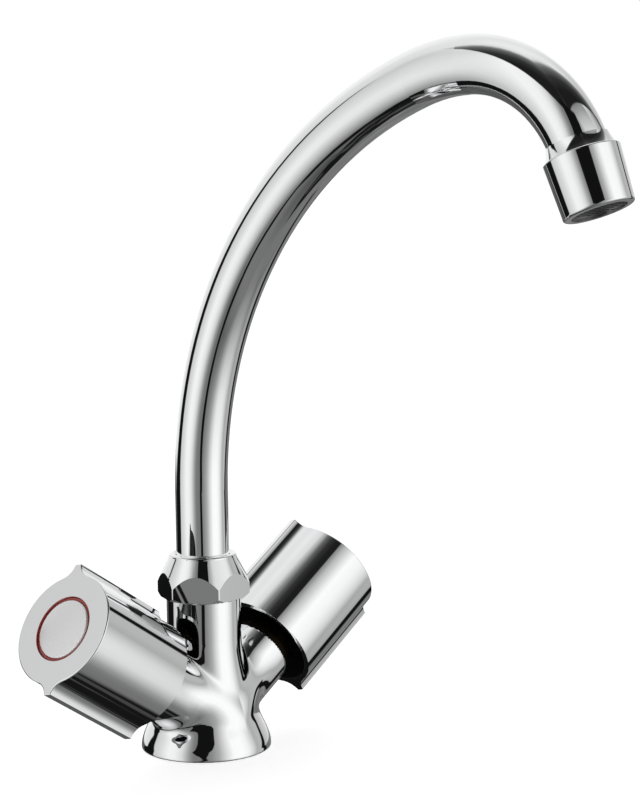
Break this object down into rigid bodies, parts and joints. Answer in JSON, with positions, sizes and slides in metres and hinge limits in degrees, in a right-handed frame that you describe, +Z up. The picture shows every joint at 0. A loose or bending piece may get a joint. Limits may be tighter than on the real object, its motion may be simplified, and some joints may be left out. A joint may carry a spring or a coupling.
{
  "type": "kitchen mixer tap",
  "caption": "Deck-mounted kitchen mixer tap with a tall swivelling hooked spout and two angled ridged handles on a bell-shaped body.",
  "frame": {"origin": "on the deck, where the axis of the spout's swivel meets the underside of the foot", "axes": "+Z up along the spout's swivel axis; the spout reaches towards -Y, the user's side; the hot handle is on the -X side and the cold one on +X"},
  "size_m": [0.1688, 0.2177, 0.2654],
  "materials": {
    "chrome": "polished chrome plate on brass",
    "brass": "turned brass",
    "steel": "stainless steel",
    "seal_rubber": "black rubber",
    "disc_ceramic": "lapped alumina",
    "white_plastic": "plain moulded plastic",
    "grey_plastic": "dark moulded plastic",
    "red_plastic": "red moulded plastic",
    "blue_plastic": "blue moulded plastic"
  },
  "bodies": {
    "tap_body": {"body_casting": "chrome", "base_seal": "seal_rubber", "spout_nut": "chrome", "swivel_ring_lower": "white_plastic", "swivel_ring_upper": "white_plastic", "hot_valve_housing": "brass", "hot_valve_lip_seal": "seal_rubber", "hot_valve_fixed_disc": "disc_ceramic", "cold_valve_housing": "brass", "cold_valve_lip_seal": "seal_rubber", "cold_valve_fixed_disc": "disc_ceramic"},
    "spout": {"spout_tube": "chrome", "spout_swivel_foot": "brass", "spout_swivel_seals": "seal_rubber", "outlet_sleeve": "chrome", "aerator_housing": "chrome", "aerator_gasket": "seal_rubber", "aerator_cartridge": "grey_plastic", "aerator_mesh": "grey_plastic"},
    "hot_handle": {"hot_valve_turning_disc": "disc_ceramic", "hot_valve_spindle": "brass", "hot_valve_spindle_seals": "seal_rubber", "hot_valve_circlip": "steel", "hot_handle_shell": "chrome", "hot_handle_insert": "white_plastic", "hot_handle_screw": "steel", "hot_index_ring": "red_plastic", "hot_index_button": "chrome"},
    "cold_handle": {"cold_valve_turning_disc": "disc_ceramic", "cold_valve_spindle": "brass", "cold_valve_spindle_seals": "seal_rubber", "cold_valve_circlip": "steel", "cold_handle_shell": "chrome", "cold_handle_insert": "white_plastic", "cold_handle_screw": "steel", "cold_index_ring": "blue_plastic", "cold_index_button": "chrome"}
  },
  "joints": [
    {"name": "spout_swivel", "type": "hinge", "parent": "tap_body", "child": "spout", "pos_m": [0, 0, 0.06], "axis": [0, 0, 1], "continuous": true},
    {"name": "hot_valve_turn", "type": "hinge", "parent": "tap_body", "child": "hot_handle", "pos_m": [0, 0, 0.0133], "axis": [-0.8443, 0, 0.5358], "range_deg": [0, 90]},
    {"name": "cold_valve_turn", "type": "hinge", "parent": "tap_body", "child": "cold_handle", "pos_m": [0, 0, 0.0133], "axis": [-0.8443, 0, -0.5358], "range_deg": [0, 90]}
  ]
}
